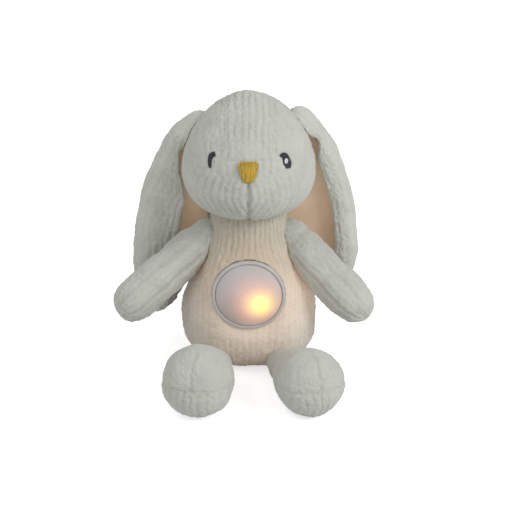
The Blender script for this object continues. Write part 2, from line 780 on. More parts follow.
def torso_pockets(place, _):
    """Pockets that hold the lamp in the belly and the sound box in the back."""
    if place.y < 0:
        reach = math.hypot(place.x, place.z - LAMP_HEIGHT)
        if reach < POCKET_RADIUS:
            out = POCKET_RADIUS / reach if reach > POCKET_RADIUS - POCKET_EDGE else 1.0
            return Vector((place.x * out, LAMP_POCKET_END, LAMP_HEIGHT + (place.z - LAMP_HEIGHT) * out))
        return place
    edge = rounded_box(place.x, place.z, BOX_LOW, BOX_HIGH, BOX_HALF_WIDTH, BOX_ROUND)
    if edge >= 0:
        return place
    return Vector((place.x, BOX_POCKET_END, place.z))


def torso_ribs(place, _):
    front = place.y < 0
    wide = at_place(TORSO_TABLE, place.z)[1]
    turn = math.atan2(place.x, -place.y if front else place.y)
    share = fade(place.z, SEAT_RIB_FADE) * fade(place.z, NECK_RIB_FADE)
    if front:
        off = math.hypot(place.x, place.z - LAMP_HEIGHT) - RING_RADIUS
        rise = BELLY_RIB_SHARE + (1 - BELLY_RIB_SHARE) * fade(place.z, BELLY_RIB_FADE)
        share *= fade(off, LAMP_RIB_FADE) * rise
    return turn * (wide + TORSO_RIB_SPREAD) / 2, share


def torso_sinks(place):
    """Seams up both sides."""
    wide = at_place(TORSO_TABLE, place.z)[1]
    return groove(abs(place.y), SEAM_WIDTH, SIDE_SEAM_DEPTH) if abs(place.x) > wide * SIDE_SEAM_SHARE else 0.0


def build_torso():
    sides, rings = TORSO_GRID
    steps, _ = evenly(lambda share: torso_point(0.5, share), rings)
    torso = skin("torso_plush", even_shares(sides), steps, torso_point)
    stuff(torso)

    def sewn_flat(place, normal):
        return Vector((place.x, drawn_flat(*place, LAMP_SEWN_WIDTH) if normal.y < 0 else place.y, place.z))

    reshape(torso, sewn_flat)
    divide(torso)
    reshape(torso, torso_sockets)
    raise_cloth(torso, torso_ribs, torso_sinks)
    reshape(torso, torso_pockets)
    keep_above(torso, 0.0)
    return torso


# Head

def head_swell(direction):
    """How far the muzzle, cheeks and crown stand out, as a share of the head's radius."""
    total = 0.0
    for towards, height, width in LUMP_SHARES:
        angle = direction.angle(Vector(towards))
        total += height * math.exp(-((angle / width) ** 2))
    return total


def head_point(round_share, along_share):
    turn = round_share * math.tau
    lift = (along_share - 1 / 2) * math.pi
    level, rise = round_square(lift, 2 if lift > 0 else HEAD_LOW_SQUARE)
    taper = 1 - HEAD_TAPER_SHARE * rise
    direction = Vector((math.cos(turn) * level, math.sin(turn) * level, rise))
    radii = (HEAD_WIDTH / 2 * taper, HEAD_DEPTH / 2 * taper, HEAD_HEIGHT / 2)
    swell = 1 + head_swell(direction)
    return HEAD_CENTRE + Vector([part * radius * swell for part, radius in zip(direction, radii)])


def head_sockets(place, normal):
    """The head sits over the neck's ball, and the ears' roots sink into it."""
    off = place - NECK_CENTRE
    radius = NECK_RADIUS + STAND_OFF
    if off.length < radius:
        place = NECK_CENTRE + off.normalized() * radius
    for side in SIDES:
        root_radius = EAR_ROOT_RADIUS * EAR_SWELL_SHARES[side]
        place = sunk_ball(place, normal, sided(EAR_ROOT, side), root_radius - SOCKET_TIGHT)
    return place


def head_ribs(place, _):
    """Upright ribs on the forehead, and sloping ones that meet under the chin."""
    low = fade(place.z, BROW_FADE)
    gusset = fade(abs(place.x), GUSSET_FADE) * (1 - low)
    level, steep = CHEEK_SLOPES
    slope = (level + steep * fade(place.z, CHEEK_FADE)) * (place.z - CHIN_LEVEL)
    upright = gusset > 0.5 or fade(-place.y, FACE_FADE) < FACE_START_SHARE
    run = place.x if upright else abs(place.x) - slope
    muzzle = low * fade(abs(place.x), MUZZLE_FADE) * fade(place.z, MUZZLE_LOW_FADE)
    muzzle *= 0.5 + 0.5 * fade(place.x, MUZZLE_WORN_FADE)
    broken = smooth(BROKEN_SHARE + noisy(place, BROKEN_NOISE))
    back, front = HEAD_SIDE_SHARES
    side = back + front * fade(-place.y, HEAD_SIDE_FADE)
    share = side + HEAD_RIB_SHARES["gusset"] * gusset * broken + HEAD_RIB_SHARES["muzzle"] * muzzle
    return run, share * fade(place.z, CHIN_FADE)


def head_sinks(place):
    """The cleft below the nose, the seam across its bridge, and those beside the forehead's gusset."""
    sink = 0.0
    if place.y < 0:
        if place.z < NOSE_LEVEL:
            sink += groove(abs(place.x), *CLEFT_GROOVE) * fade(place.z, CLEFT_FADE)
        sink += groove(abs(place.z - BRIDGE_LEVEL), *BRIDGE_GROOVE) * fade(abs(place.x), BRIDGE_FADE)
    seam = fade(place.z, GUSSET_SEAM_FADE)
    sink += groove(abs(abs(place.x) - GUSSET_HALF * (1 - GUSSET_TAPER_SHARE * seam)), *GUSSET_GROOVE) * seam
    return sink


def build_head():
    sides, rings = HEAD_GRID
    head = skin("head_plush", even_shares(sides), even_shares(rings), head_point)
    stuff(head, HEAD_SWELL)
    divide(head)
    reshape(head, head_sockets)
    face_tree = tree_of(head)
    raise_cloth(head, head_ribs, head_sinks, FOLD_HEIGHT * HEAD_FOLD_SHARE, NAP_HEIGHT * HEAD_NAP_SHARE)
    return head, face_tree


# Limbs

def arm_way(side):
    drop, forward = ARM_POSES[side]
    level = math.cos(drop)
    return Vector((SIGNS[side] * level * math.cos(forward), -level * math.sin(forward), -math.sin(drop)))


def leg_way(side):
    turn = LEG_POSES[side] * SIGNS[side]
    radius = FOOT_RADIUS * FOOT_SIZE_SHARES[side]
    rise = math.asin((radius - FOOT_SINK - HIP_PLACE.z) / (LEG_LENGTH * FOOT_CENTRE_SHARE))
    return Vector((math.sin(turn) * math.cos(rise), -math.cos(turn) * math.cos(rise), math.sin(rise)))


def limb_frame(way):
    """Two ways across a limb: level, and upwards."""
    first = way.cross(Vector((0, 0, 1))).normalized()
    return first, first.cross(way).normalized()


def limb_profile(rows, length, radius, root):
    """Distance along and radius pairs, from the back of the root's ball to the tip."""
    turns = [index / ROOT_STEPS * math.pi / 2 for index in range(ROOT_STEPS)]
    pairs = [(-root * math.cos(turn), root * math.sin(turn)) for turn in turns]
    for share in even_shares(LIMB_STEPS):
        place, swell = along(rows, share)
        run = place * length
        ball = math.sqrt(max(root * root - run * run, 0.0))
        pairs.append((run, max(ball, max(swell, 0.0) * radius)))
    return pairs


def limb(name, start, way, pairs, sides):
    """A stuffed limb whose root is a ball on its joint."""
    first, second = limb_frame(way)
    last = len(pairs) - 1

    def form(round_share, along_share):
        place = along_share * last
        index = min(int(place), last - 1)
        part = place - index
        run, radius = [a + (b - a) * part for a, b in zip(pairs[index], pairs[index + 1])]
        angle = round_share * math.tau
        return start + way * run + (first * math.cos(angle) + second * math.sin(angle)) * radius

    _, length = evenly(lambda share: form(0, share), PATH_STEPS)
    steps, _ = evenly(lambda share: form(0, share), round(length / COARSE))
    return skin(name, even_shares(sides), steps, form)


def limb_turn(place, start, way):
    """Turn about a limb's line and distance along it."""
    first, second = limb_frame(way)
    off = place - start
    return math.atan2(off.dot(second), off.dot(first)), off.dot(way)


def build_arm(side, torso_tree):
    shoulder = sided(SHOULDER_PLACE, side)
    way = arm_way(side)
    length = ARM_LENGTH * ARM_LENGTH_SHARES[side]
    pairs = limb_profile(ARM_SHARES, length, ARM_RADIUS, SHOULDER_RADIUS)
    arm = limb("arm_%s_plush" % side, shoulder, way, pairs, LIMB_SIDES["arm"])
    stuff(arm)
    divide(arm)
    stand_off(arm, torso_tree, ball=(shoulder, SHOULDER_RADIUS))

    def ribs(place, _):
        turn, run = limb_turn(place, shoulder, way)
        share = fade(run, LIMB_RIB_FADE) * fade(length - run, PAW_RIB_FADE)
        return turn / math.tau * ARM_RIBS * WALE, ARM_RIB_SHARE * share

    def sinks(place):
        turn, run = limb_turn(place, shoulder, way)
        seam = groove(abs(math.sin(turn)) * ARM_RADIUS, *ARM_GROOVE)
        crease = noise.noise(Vector((
            math.cos(turn) * CREASE_REACH, math.sin(turn) * CREASE_REACH, run / CREASE_LENGTH)))
        return (seam + CREASE_DEPTH * smooth(crease * 2)) * fade(run, ARM_SEAM_FADE)

    raise_cloth(arm, ribs, sinks, FOLD_HEIGHT * LIMB_FOLD_SHARE)
    stand_off(arm, torso_tree, ball=(shoulder, SHOULDER_RADIUS))
    return arm


def build_leg(side, torso_tree):
    hip = sided(HIP_PLACE, side)
    way = leg_way(side)
    level = limb_frame(way)[0]
    pairs = limb_profile(LEG_SHARES, LEG_LENGTH, FOOT_RADIUS * FOOT_SIZE_SHARES[side], HIP_RADIUS)
    leg = limb("leg_%s_plush" % side, hip, way, pairs, LIMB_SIDES["leg"])
    stuff(leg)
    divide(leg)
    stand_off(leg, torso_tree, ball=(hip, HIP_RADIUS))
    middle = hip + way * (LEG_LENGTH * FOOT_CENTRE_SHARE)

    def ribs(place, _):
        _, run = limb_turn(place, hip, way)
        off = place - middle
        plain, sole = LEG_RIB_SHARES
        share = plain + sole * fade(run, SOLE_RIB_FADE) * fade(off.z, SOLE_LOW_FADE)
        return off.dot(level), share * fade(run, LIMB_RIB_FADE)

    def sinks(place):
        _, run = limb_turn(place, hip, way)
        off = place - middle
        cross = groove(abs(off.z - SOLE_LEVEL), *SOLE_CROSS_GROOVE)
        upright = groove(abs(off.dot(level)), *SOLE_UPRIGHT_GROOVE) * fade(off.z, SOLE_UPRIGHT_FADE)
        return (cross + upright) * fade(run, SOLE_SEAM_FADE)

    raise_cloth(leg, ribs, sinks)
    stand_off(leg, torso_tree, ball=(hip, HIP_RADIUS))
    keep_above(leg, FLOOR_GAP)
    return leg


# Ears

def ear_frame(side, along_share):
    """The fold's middle, and the way inwards across the ear, at a share of its length."""
    sign = SIGNS[side]
    reach, drop = EAR_SIZES[side][:2]
    root = sided(EAR_ROOT, side)

    def place(share):
        out, back, down = along(EAR_PATH_SHARES, share)
        return root + Vector((sign * out * reach, back * EAR_BACK, -down * drop))

    run = place(min(along_share + EAR_STEP, 1.0)) - place(max(along_share - EAR_STEP, 0.0))
    inwards = Vector((run.z, 0, -run.x)).normalized() * sign
    return place(along_share), inwards


def ear_run(side, along_share):
    """Half bend, and the cloth's lowest and highest place across, at a share along."""
    behind, before = EAR_SIZES[side][2:]
    _, back, fold, _, _ = at_place(EAR_FORM_SHARES, along_share)
    if along_share > EAR_TIP_START_SHARE:
        back = back ** EAR_TIP_POWERS[side]
    lip = at_place(EAR_LIP_SHARES[side], along_share)[1]
    half_bend = EAR_FOLD_RADIUS * fold * math.pi / 2
    return half_bend, -(behind * back + half_bend), before * lip + half_bend


def ear_across(side, along_share, cloth_share, lift):
    """A point of the rolled cloth: cloth_share runs from its back edge, -1, to its front edge, 1."""
    half_bend, low, high = ear_run(side, along_share)
    _, _, fold, thickness, roll = at_place(EAR_FORM_SHARES, along_share)
    radius = EAR_FOLD_RADIUS * fold
    run = low + (high - low) * (cloth_share + 1) / 2
    roll_angle = roll * math.pi / 2
    bend = half_bend / roll_angle
    turn = max(min(run / half_bend, 1.0), -1.0) * roll_angle
    rest = run - max(min(run, half_bend), -half_bend)
    inward = -radius + bend * (1 - math.cos(turn)) + rest * math.sin(turn)
    forward = bend * math.sin(turn) + rest * math.cos(turn)
    off = lift(thickness * EAR_THICKNESS / 2)
    return inward - off * math.cos(turn), forward + off * math.sin(turn)


def rounded_end(share, reach):
    """Grows from 0 to 1 within a reach, as a quarter circle does."""
    part = min(share / reach, 1.0)
    return math.sqrt(max(1 - (1 - part) ** 2, 0.0))


def ear_place(side, along_share, inward, forward):
    middle, inwards = ear_frame(side, along_share)
    closing = rounded_end(along_share, EAR_ROOT_END_SHARE) * rounded_end(1 - along_share, EAR_TIP_END_SHARE)
    return middle + (inwards * inward + Vector((0, -forward, 0))) * closing


def ear_point(side, round_share, along_share):
    """The ear starts as a round root on its joint, and opens into the rolled slab."""
    angle = round_share * math.tau
    cloth = math.cos(angle)
    lift = math.copysign((1 - abs(cloth) ** EAR_SQUARE) ** (1 / EAR_SQUARE), math.sin(angle))
    share = (along_share - EAR_BALL_SHARE) / (1 - EAR_BALL_SHARE)
    middle, inwards = ear_frame(side, max(share, 0.0))
    swell, back = 1.0, 0.0
    radius = EAR_ROOT_RADIUS * EAR_SWELL_SHARES[side]
    if share < 0:
        turn = along_share / EAR_BALL_SHARE * math.pi / 2
        swell, back = math.sin(turn), radius * math.cos(turn)
    ring = inwards * (-radius * math.sin(angle)) + Vector((0, -radius * cloth, 0))
    along_root = inwards.cross(Vector((0, 1, 0))) * -SIGNS[side]
    round_place = middle + ring * swell + along_root * back
    if share < 0:
        return round_place
    inward, forward = ear_across(side, share, cloth, lambda half: half * lift)
    return round_place.lerp(ear_place(side, share, inward, forward), smooth(share / EAR_OPEN_SHARE))


def ear_wale(side, round_share, along_share):
    _, low, high = ear_run(side, max(along_share - EAR_BALL_SHARE, 0.0))
    return low + (high - low) * (math.cos(round_share * math.tau) + 1) / 2


def nod_gap(place):
    """Room for the ears to swing towards the back as the head tips up."""
    return STAND_OFF + max(NECK_CENTRE.z - place.z, 0.0) * NOD_GAP_SHARE


def build_ear(side, head_tree, torso_tree):
    sides, rings = EAR_GRID
    steps, _ = evenly(lambda share: ear_point(side, 0.25, share), rings)
    ear = skin("ear_%s_plush" % side, even_shares(sides), steps,
               lambda turn, share: ear_point(side, turn, share),
               lambda turn, share: ear_wale(side, turn, share))
    ball = (sided(EAR_ROOT, side), EAR_ROOT_RADIUS * EAR_SWELL_SHARES[side])

    def lined_gap(place):
        return STAND_OFF + (LINED_GAP - STAND_OFF) * fade(place.z, LINED_FADE)

    def clear(gap_at):
        stand_off(ear, head_tree, gap_at, ball=ball)
        stand_off(ear, torso_tree, nod_gap)

    clear(lined_gap)
    divide(ear)
    clear(lined_gap)
    raise_cloth(ear, lambda place, run: (run, EAR_RIB_SHARE * fade(place.z, EAR_RIB_FADE)),
                fold=FOLD_HEIGHT * LIMB_FOLD_SHARE)
    clear(None)
    return ear


def lining_point(side, round_share, along_share):
    """The lining lies inside the roll, on the cloth behind the fold."""
    angle = round_share * math.tau
    share = LINING_START_SHARE + (LINING_END_SHARE - LINING_START_SHARE) * along_share
    closing = math.sqrt(max(1 - (2 * along_share - 1) ** LINING_SQUARE, 0.0))
    across, side_share = round_square(angle, EAR_SQUARE)
    low, high = -LINING_BACK_SHARE * closing, LINING_LIP_SHARE * closing
    cloth = low + (high - low) * (across + 1) / 2

    def lift(half):
        inside = half * (1 - abs(cloth) ** EAR_SQUARE) ** (1 / EAR_SQUARE)
        return -inside - RIB_HEIGHT - LINING_GAP - LINING_THICKNESS / 2 * (1 + side_share * closing)

    inward, forward = ear_across(side, share, cloth, lift)
    return ear_place(side, share, inward, forward)


def build_lining(side, head_tree, torso_tree, ear_tree):
    sides, rings = LINING_GRID
    steps, _ = evenly(lambda share: lining_point(side, 0.25, share), rings)
    rounds, _ = evenly(lambda share: lining_point(side, share, 0.5), sides)
    lining = skin("lining_" + side, rounds, steps, lambda turn, share: lining_point(side, turn, share))
    stand_off(lining, head_tree)
    stand_off(lining, torso_tree, nod_gap)
    stand_off(lining, ear_tree, lambda place: LINING_GAP, LINING_REACH)
    return lining


# Embroidery

def face_place(tree, x, z, height):
    """The place at a height over the face, straight behind a point seen from the front."""
    spot, way, _, _ = tree.ray_cast(Vector((x, -1, z)), Vector((0, 1, 0)))
    return spot + way * height


def threads(name, runs, radius):
    """Round threads along runs of points, thinned at their ends, in one mesh."""
    curve = bpy.data.curves.new(name, "CURVE")
    curve.dimensions = "3D"
    curve.bevel_depth = radius
    curve.bevel_resolution = 1
    curve.use_fill_caps = True
    for run in runs:
        spline = curve.splines.new("POLY")
        spline.points.add(len(run) - 1)
        for index, (point, place) in enumerate(zip(spline.points, run)):
            point.co = (*place, 1)
            point.radius = STITCH_END_SHARE if index in (0, len(run) - 1) else 1.0
    drawn = bpy.data.objects.new(name, curve)
    bpy.context.scene.collection.objects.link(drawn)
    bpy.context.view_layer.update()
    seen = bpy.context.evaluated_depsgraph_get()
    data = bpy.data.meshes.new_from_object(drawn.evaluated_get(seen), depsgraph=seen)
    bpy.data.objects.remove(drawn, do_unlink=True)
    bpy.data.curves.remove(curve)
    data.name = name
    data.shade_smooth()
    piece = bpy.data.objects.new(name, data)
    bpy.context.scene.collection.objects.link(piece)
    return piece


def ragged(index, start, size=RAGGED):
    """A small uneven step for a stitch, each row of them from its own start."""
    return noise.noise(Vector(((index + RAGGED_STARTS[start]) * RAGGED_STEP, *RAGGED_ROW))) * size


def stitched(name, tree, ends, rise, low=STITCH_LIFT):
    """Satin stitches: each thread runs from one end to the other, over a padded middle."""
    runs = []
    for index, ((x, z), (to_x, to_z), padding) in enumerate(ends):
        run = []
        for step in range(STITCH_STEPS + 1):
            share = step / STITCH_STEPS
            arch = math.sin(share * math.pi) ** STITCH_ARCH
            height = low + rise * padding * arch + ragged(index, "thread", STITCH_UNEVEN)
            run.append(face_place(tree, x + (to_x - x) * share, z + (to_z - z) * share, height))
        runs.append(run)
    return threads(name, runs, STITCH_RADIUS)


def crescent(side):
    """Ends of the stitches across an eye, from its outer edge to its inner one."""
    def end(x, z, slip):
        return SIGNS[side] * (EYE_OUT + x * EYE_HALF_WIDTH + slip), EYE_LEVEL_Z + z * EYE_HALF_HEIGHT

    ends = []
    for index, share in enumerate(even_shares(EYE_STITCHES)):
        outer_x, outer_z, inner_x, inner_z = along(EYE_SHARES[side], share)
        slip = ragged(index, side)
        padding = 0.5 + 0.5 * math.sin(share * math.pi)
        ends.append((end(outer_x, outer_z, slip), end(inner_x, inner_z, -slip), padding))
    return ends


def build_eye(side, tree):
    return stitched("eye_%s_stitches" % side, tree, crescent(side), EYE_RISE)


def build_glint(side, tree):
    """A few pale stitches laid over the dark ones."""
    (out, level), half_width, half_height = GLINTS[side]
    ends = []
    for share in even_shares(GLINT_STITCHES - 1):
        x = (share * 2 - 1) * half_width
        reach = half_height * math.sqrt(1 - GLINT_ROUND_SHARE * (x / half_width) ** 2)
        place = SIGNS[side] * (out + x)
        ends.append(((place, level + reach), (place, level - reach), 1.0))
    return stitched("eye_glint_%s_stitches" % side, tree, ends, GLINT_RISE, STITCH_LIFT + GLINT_LIFT)


def build_nose(tree):
    """Upright satin stitches fill a rounded shield, and draw together low down its middle."""
    ends = []
    split_width, split_depth = NOSE_SPLIT
    for index, place in enumerate(even_shares(NOSE_STITCHES)):
        share = place * 2 - 1
        x = share * NOSE_HALF_WIDTH
        drop = at_place(NOSE_SHARES, abs(share))[1] * NOSE_HEIGHT
        top = NOSE_TOP - NOSE_CORNER * abs(share) ** NOSE_CORNER_POWER + ragged(index, "nose_top")
        low = NOSE_TOP - drop + ragged(index, "nose_low")
        dome = math.sqrt(max(1 - NOSE_DOME_SHARE * share * share, 0.0))
        split = 1 - groove(x, split_width, split_depth)
        ends.append(((x, top), (x * NOSE_GATHER_SHARE, low), dome * split))
    return stitched("nose_stitches", tree, ends, NOSE_RISE)


# Lamp

def turned(name, profile):
    """A ring or dome turned about the lamp's axis, its heights measured forward from the seat."""
    mesh = bmesh.new()
    verts = [mesh.verts.new((radius, -RING_SEAT - forward, LAMP_HEIGHT)) for radius, forward in profile]
    edges = [mesh.edges.new(pair) for pair in zip(verts, verts[1:])]
    if profile[0][0] > 0:
        edges.append(mesh.edges.new((verts[-1], verts[0])))
    bmesh.ops.spin(mesh, geom=verts + edges, cent=(0, 0, LAMP_HEIGHT), axis=(0, 1, 0),
                   angle=math.tau, steps=TURNED_STEPS, use_merge=True)
    bmesh.ops.remove_doubles(mesh, verts=mesh.verts, dist=WELD)
    bmesh.ops.recalc_face_normals(mesh, faces=mesh.faces)
    piece = piece_of(name, mesh)
    piece.data.set_sharp_from_angle(angle=SHARP_ANGLE)
    return piece


def arc(centre, radius, start, end):
    """Points of an arc in a turned profile."""
    turns = [start + (end - start) * share for share in even_shares(ARC_STEPS)]
    return [(centre[0] + radius * math.cos(turn), centre[1] + radius * math.sin(turn)) for turn in turns]


def build_ring():
    """A rounded ring, whose barrel goes back into the belly."""
    front = RING_THICKNESS + RING_LIP
    outer, inner = RING_CORNER, RING_CORNER / 2
    profile = [(RING_BORE, -BARREL_DEPTH), (BARREL_RADIUS, -BARREL_DEPTH), (BARREL_RADIUS, RING_LIP),
               (RING_RADIUS, RING_LIP)]
    profile += arc((RING_RADIUS - outer, front - outer), outer, 0, math.pi / 2)
    profile += arc((RING_BORE + inner, front - inner), inner, math.pi / 2, math.pi)
    return turned("lamp_ring", profile)


def build_lens():
    """A shallow dome with a flange behind the ring, and a post that reaches the switch."""
    radius = RING_BORE - LENS_GAP
    edge = RING_THICKNESS - LENS_GAP
    inner = radius - DOME_WALL
    outer = [(radius * share, edge + DOME_RISE * (1 - share * share) ** DOME_POWER)
             for share in even_shares(DOME_STEPS["outer"])]
    lining = [(inner * share, edge - DOME_WALL + DOME_RISE * (1 - share * share))
              for share in reversed(even_shares(DOME_STEPS["inner"])) if inner * share > DOME_POST_RADIUS]
    flange = [(radius, -FLANGE_FRONT), (DOME_FLANGE_RADIUS, -FLANGE_FRONT),
              (DOME_FLANGE_RADIUS, -FLANGE_BACK), (inner, -FLANGE_BACK)]
    post = [(DOME_POST_RADIUS, lining[-1][1]), (DOME_POST_RADIUS, DOME_POST_END), (0, DOME_POST_END)]
    return turned("lamp_lens", outer + flange + lining + post)


# Tail and flap

def build_tail(torso_tree):
    """A small stuffed ball, gathered where it is sewn on."""
    centre = Vector((0, TORSO_BACK, TAIL_HEIGHT))
    sides, rings = TAIL_GRID

    def form(round_share, along_share):
        turn, lift = round_share * math.tau, (along_share - 0.5) * math.pi
        level = math.cos(lift)
        return centre + Vector((math.cos(turn) * level, math.sin(lift), math.sin(turn) * level)) * TAIL_RADIUS

    def ribs(place, _):
        off = place - centre
        run = math.atan2(off.z, off.x) / math.tau * TAIL_RIBS * WALE
        return run, TAIL_RIB_SHARE * fade(math.hypot(off.x, off.z), TAIL_RIB_FADE)

    tail = skin("tail_plush", even_shares(sides), even_shares(rings), form)
    stuff(tail)
    divide(tail)
    stand_off(tail, torso_tree)
    raise_cloth(tail, ribs, fold=FOLD_HEIGHT * TAIL_FOLD_SHARE)
    stand_off(tail, torso_tree)
    keep_above(tail, FLOOR_GAP)
    return tail


def flap_point(round_share, along_share):
    """A thin pad with a round edge, on the torso's own curve."""
    side_power, level_power = FLAP_EDGE_POWERS
    across, up = round_square(round_share * math.tau, FLAP_SQUARE)
    turn = (along_share - 0.5) * math.pi
    reach = math.cos(turn) ** side_power if abs(turn) < math.pi / 2 - WELD else 0.0
    level = math.copysign(abs(math.sin(turn)) ** level_power, turn)
    x = across * reach * FLAP_HALF_WIDTH
    z = (FLAP_BOTTOM + FLAP_TOP) / 2 + up * reach * (FLAP_TOP - FLAP_BOTTOM) / 2
    return Vector((x, torso_back(x, z) + FLAP_THICKNESS / 2 * (level - 1) + FLAP_PROUD, z))


def flap_edge(place):
    """How far a place lies outside the flap's outline, below 0 inside it."""
    return rounded_box(place.x, place.z, FLAP_BOTTOM, FLAP_TOP, FLAP_HALF_WIDTH, FLAP_ROUND)


def build_flap():
    sides, rings = FLAP_GRID
    steps, _ = evenly(lambda share: flap_point(0.0, share), rings)

    def ribs(place, _):
        outside = fade(place.y - torso_back(place.x, place.z), FLAP_FACE_FADE)
        return place.x, outside * fade(flap_edge(place), FLAP_RIB_FADE)

    flap = skin("flap_plush", even_shares(sides), steps, flap_point)
    divide(flap)
    raise_cloth(flap, ribs, lambda place: groove(abs(flap_edge(place) + FLAP_HEM), *FLAP_GROOVE),
                FLAP_FOLD_HEIGHT, NAP_HEIGHT * FLAP_NAP_SHARE)
    return flap


# Materials

def group_of(name, inputs, outputs):
    """A node group with named inputs and outputs, and the node that its inputs come from."""
    group = bpy.data.node_groups.new(name, "ShaderNodeTree")
    for label, kind, value in inputs:
        socket = group.interface.new_socket(label, in_out="INPUT", socket_type="NodeSocket" + kind)
        socket.default_value = value
    for label, kind in outputs:
        group.interface.new_socket(label, in_out="OUTPUT", socket_type="NodeSocket" + kind)
    return group, add(group, "NodeGroupInput").outputs


def feed(node, **inputs):
    """Sets a node's inputs, named or numbered as in i1, to values or joins them to other nodes' sockets."""
    for name, value in inputs.items():
        numbered = name[0] == "i" and name[1:].isdigit()
        socket = node.inputs[int(name[1:]) if numbered else name.replace("_", " ")]
        if isinstance(value, bpy.types.NodeSocket):
            node.id_data.links.new(value, socket)
        else:
            socket.default_value = value


def add(tree, kind, settings=None, **inputs):
    """A node with its settings and its inputs."""
    node = tree.nodes.new(kind)
    for name, value in (settings or {}).items():
        setattr(node, name, value)
    feed(node, **inputs)
    return node


def object_place(tree):
    return add(tree, "ShaderNodeTexCoord").outputs["Object"]


def worked(tree, operation, *values, clamp=False):
    """The result of one sum."""
    numbered = {"i%d" % index: value for index, value in enumerate(values)}
    return add(tree, "ShaderNodeMath", {"operation": operation, "use_clamp": clamp}, **numbered).outputs[0]


def vector_worked(tree, operation, **inputs):
    return add(tree, "ShaderNodeVectorMath", {"operation": operation}, **inputs).outputs


def speckle(tree, place, size, detail=2.0, roughness=0.5):
    noise_node = add(tree, "ShaderNodeTexNoise", Vector=place, Scale=size, Detail=detail, Roughness=roughness)
    return noise_node.outputs["Fac"]


def spread(tree, value, low, high, to_low=0.0, to_high=1.0):
    """Maps one range of a value onto another."""
    return add(tree, "ShaderNodeMapRange", Value=value, i1=low, i2=high, i3=to_low, i4=to_high).outputs[0]


def mixed(tree, factor, first, second, blend="MIX"):
    node = add(tree, "ShaderNodeMix", {"data_type": "RGBA", "blend_type": blend},
               Factor=factor, i6=first, i7=second)
    return node.outputs[2]


def chenille_group():
    """Colour and height of ribbed plush: paler crowns, duller grooves and a fine nap."""
    group, given = group_of(
        "chenille",
        (("Crown", "Color", PURE_WHITE), ("Groove", "Color", BLACK), ("Grain", "Float", NAP_GRAIN)),
        (("Colour", "Color"), ("Height", "Float")))
    place = object_place(group)
    hollow = add(group, "ShaderNodeAttribute", {"attribute_name": "hollow"}).outputs["Fac"]
    fine = speckle(group, place, given["Grain"], NAP_DETAIL, NAP_ROUGHNESS)
    mask = worked(group, "MULTIPLY_ADD", fine, 0.5, hollow)
    mask = worked(group, "SUBTRACT", mask, NAP_LEVEL, clamp=True)
    tone = mixed(group, mask, given["Crown"], given["Groove"])
    shade = spread(group, speckle(group, place, SHADE_GRAIN), *GRAIN_RANGE, *SHADE_RANGE)
    colour = vector_worked(group, "SCALE", i0=tone, Scale=shade)[0]
    add(group, "NodeGroupOutput", Colour=colour, Height=fine)
    return group


def glow_group():
    """A mask that fades with distance from a place."""
    group, given = group_of(
        "glow", (("Place", "Vector", (0, 0, 0)), ("Reach", "Float", 1.0), ("Shape", "Vector", ROUND_LAMP)),
        (("Mask", "Float"),))
    off = vector_worked(group, "SUBTRACT", i0=object_place(group), i1=given["Place"])[0]
    far = vector_worked(group, "LENGTH", i0=vector_worked(group, "MULTIPLY", i0=off, i1=given["Shape"])[0])
    share = worked(group, "DIVIDE", far["Value"], given["Reach"])
    square = worked(group, "POWER", share, 2.0)
    mask = worked(group, "EXPONENT", worked(group, "MULTIPLY", square, -1.0))
    add(group, "NodeGroupOutput", Mask=mask)
    return group


def mottle_group():
    """A colour that varies a little, with a fine noise for roughness and bump."""
    group, given = group_of(
        "mottle", (("Colour", "Color", PURE_WHITE), ("Grain", "Float", NAP_GRAIN), ("Change", "Float", 0.0)),
        (("Colour", "Color"), ("Fine", "Float")))
    place = object_place(group)
    fine = speckle(group, place, given["Grain"], GRAIN_DETAIL)
    swing = worked(group, "SUBTRACT", speckle(group, place, MOTTLE_GRAIN), 0.5)
    shade = worked(group, "MULTIPLY_ADD", swing, given["Change"], 1.0)
    colour = vector_worked(group, "SCALE", i0=given["Colour"], Scale=shade)[0]
    add(group, "NodeGroupOutput", Colour=colour, Fine=fine)
    return group


CHENILLE = chenille_group()
GLOW = glow_group()
MOTTLE = mottle_group()


def fresh_material(name, **values):
    material = bpy.data.materials.new(name)
    material.use_nodes = True
    shader = material.node_tree.nodes["Principled BSDF"]
    feed(shader, **values)
    return material, material.node_tree, shader


def bump(tree, shader, height, strength, distance):
    node = add(tree, "ShaderNodeBump", Height=height, Strength=strength, Distance=distance)
    feed(shader, Normal=node.outputs["Normal"])


def glow_at(tree, place, reach, shape):
    return add(tree, "ShaderNodeGroup", {"node_tree": GLOW}, Place=place, Reach=reach, Shape=shape).outputs[0]


def shine_through(tree, shader, glows):
    """Light of the lamp seen through cloth or plastic: glows added together."""
    light = None
    for place, reach, shape, colour in glows:
        glow = mixed(tree, glow_at(tree, place, reach, shape), BLACK, colour)
        light = glow if light is None else mixed(tree, 1.0, light, glow, "ADD")
    feed(shader, Emission_Color=light, Emission_Strength=1.0)


def plush_material(name, crown=CREAM, dull=CREAM_GROOVE, grain=NAP_GRAIN, lit=False):
    material, tree, shader = fresh_material(name, Roughness=0.95, Sheen_Weight=0.25, Sheen_Roughness=0.5,
                                            Specular_IOR_Level=0.1)
    cloth = add(tree, "ShaderNodeGroup", {"node_tree": CHENILLE}, Crown=crown, Groove=dull, Grain=grain)
    colour = cloth.outputs["Colour"]
    if lit:
        warm = mixed(tree, 1.0, colour, CREAM_WARM, "MULTIPLY")
        colour = mixed(tree, glow_at(tree, *BELLY_WARMTH), colour, warm)
        shine_through(tree, shader, BELLY_GLOWS)
    feed(shader, Base_Color=colour)
    bump(tree, shader, cloth.outputs["Height"], *NAP_BUMP)
    return material, shader


